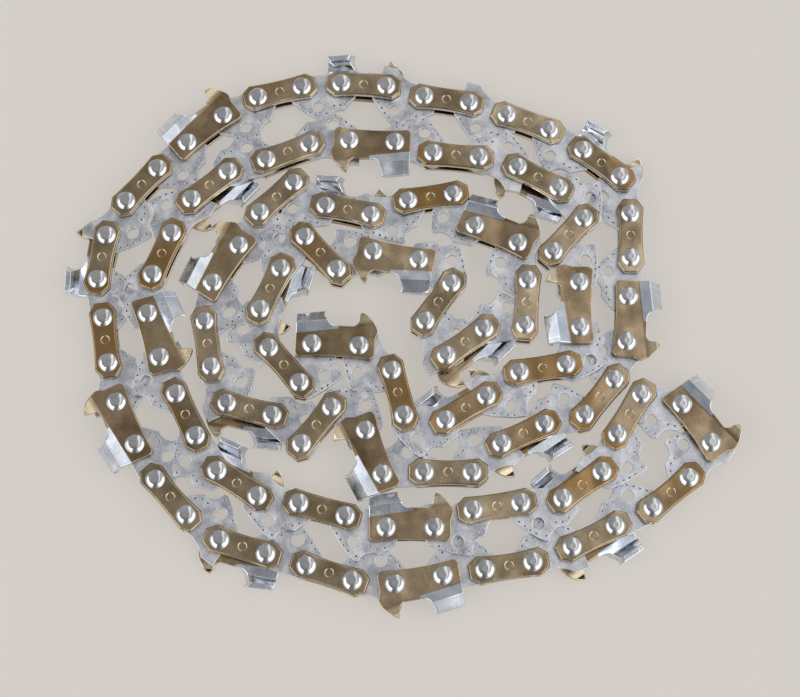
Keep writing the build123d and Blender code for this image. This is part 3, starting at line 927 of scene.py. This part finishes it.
# Brings the places to the scale of a colour ramp, which runs from 0 to 1
HALF = 0.5

on_ramp = add(
    tree, "ShaderNodeMath", {0: backward, 1: HALF, 2: HALF}, operation="MULTIPLY_ADD"
).outputs["Value"]
walls = add(tree, "ShaderNodeValToRGB", {"Fac": on_ramp})
ramp = walls.color_ramp
while len(ramp.elements) < len(WALL_REACH):
    ramp.elements.new(HALF)
for stop, (to_back, lit) in zip(ramp.elements, WALL_REACH):
    stop.position = to_back * HALF + HALF
    stop.color = [lit, lit, lit, 1]
on_wall = add(
    tree, "ShaderNodeMath", {0: outside, 1: walls.outputs["Color"]}, operation="MULTIPLY"
).outputs["Value"]
print("walls with", len(ramp.elements), "stops from front to back")

# %% The walls' light
WALL = 2.0
# Share of light near the table, and the heights it changes over
WALL_FOOT = 0.25
FOOT_SPAN = (0.1, 0.5)

parts = add(tree, "ShaderNodeSeparateXYZ", {"Vector": way})
wall = add(
    tree,
    "ShaderNodeMapRange",
    {
        "Value": parts.outputs["Z"],
        "From Min": FOOT_SPAN[0],
        "From Max": FOOT_SPAN[1],
        "To Min": WALL_FOOT * WALL,
        "To Max": WALL,
    },
).outputs["Result"]
print("walls from", WALL_FOOT * WALL, "at the foot to", WALL)

# %% The ceiling's light
CEILING_LEFT = 0.4
CEILING_RIGHT = 1.2
# Where the pale patch begins and is palest, from -1 at the left to 1 at the right
CEILING_SPAN = (0.03, 0.28)
# Where the patch ends again, and the share of it that is left there
LAMP_END = (0.32, 0.5)
BEYOND_LAMP = 0.25
# Share of light at the front of the ceiling, and the places from front to back it changes over
CEILING_FRONT = 0.55
FRONT_SPAN = (-0.45, 0.2)

sideways = add(
    tree,
    "ShaderNodeMapRange",
    {"Value": parts.outputs["X"], "From Min": CEILING_SPAN[0], "From Max": CEILING_SPAN[1]},
    interpolation_type="SMOOTHSTEP",
).outputs["Result"]
beyond = add(
    tree,
    "ShaderNodeMapRange",
    {
        "Value": parts.outputs["X"],
        "From Min": LAMP_END[0],
        "From Max": LAMP_END[1],
        "To Min": 1.0,
        "To Max": BEYOND_LAMP,
    },
    interpolation_type="SMOOTHSTEP",
).outputs["Result"]
lamp = add(tree, "ShaderNodeMath", {0: sideways, 1: beyond}, operation="MULTIPLY").outputs["Value"]
overhead = add(
    tree, "ShaderNodeMix", {"Factor": lamp, "A": CEILING_LEFT, "B": CEILING_RIGHT}
).outputs["Result"]
lengthways = add(
    tree,
    "ShaderNodeMapRange",
    {
        "Value": parts.outputs["Y"],
        "From Min": FRONT_SPAN[0],
        "From Max": FRONT_SPAN[1],
        "To Min": CEILING_FRONT,
    },
    interpolation_type="SMOOTHSTEP",
).outputs["Result"]
ceiling = add(
    tree, "ShaderNodeMath", {0: overhead, 1: lengthways}, operation="MULTIPLY"
).outputs["Value"]
print("ceiling from", CEILING_LEFT, "to", CEILING_RIGHT)

# %% The whole tent
# Behind the table's edge the camera sees the same card, as bright as the table
BACKDROP = 0.96
WHITE = linear("#FFFFFF")

strength = add(
    tree, "ShaderNodeMix", {"Factor": on_wall, "A": ceiling, "B": wall}
).outputs["Result"]
light = add(tree, "ShaderNodeBackground", {"Strength": strength, "Color": WHITE})
backdrop = add(tree, "ShaderNodeBackground", {"Strength": BACKDROP, "Color": CARD})
camera_ray = add(tree, "ShaderNodeLightPath").outputs["Is Camera Ray"]
both = add(
    tree,
    "ShaderNodeMixShader",
    {0: camera_ray, 1: light.outputs["Background"], 2: backdrop.outputs["Background"]},
).outputs["Shader"]
add(tree, "ShaderNodeOutputWorld", {"Surface": both})
print("tent of", len(tree.nodes), "nodes")

# %% [markdown]
# ## Camera
#
# The camera looks down steeply from the front. Its height above the table, distance and lens come
# from fitting the even spacing of the rivets, which shows how the picture shrinks to the back. A
# lens set by eye would get the size right in one place only.

# %% The camera
# Degrees above the table
ELEVATION = 75.73
DISTANCE = 348.9 * MM
TARGET = Vector((0.46, -6.20, 6.6)) * MM
FOCAL_PX = 1624
IMAGE_WIDTH = 800
SENSOR_WIDTH = 36.0
NEAREST = 10 * MM

lens = bpy.data.cameras.new("steep view")
lens.sensor_width = SENSOR_WIDTH
lens.lens = FOCAL_PX / IMAGE_WIDTH * SENSOR_WIDTH
lens.clip_start = NEAREST
camera = bpy.data.objects.new("steep view", lens)
tilt = math.radians(ELEVATION)
back = Vector((0, -math.cos(tilt), math.sin(tilt)))
camera.location = TARGET + DISTANCE * back
camera.rotation_euler = back.to_track_quat("Z", "Y").to_euler()
bpy.context.collection.objects.link(camera)
bpy.context.scene.camera = camera
bpy.context.scene.view_settings.view_transform = "Standard"
print("camera", [round(v, 4) for v in camera.location], "lens", round(lens.lens, 1))

# %% [markdown]
# ## Sizes
#
# The boxes of the model and of the dressed chain are printed side by side. The dressed
# chain may not outgrow the model.

# %% Sizes
as_lists = [[list(corner) for corner in box] for box in (cad_box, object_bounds())]
print("boxes", as_lists)
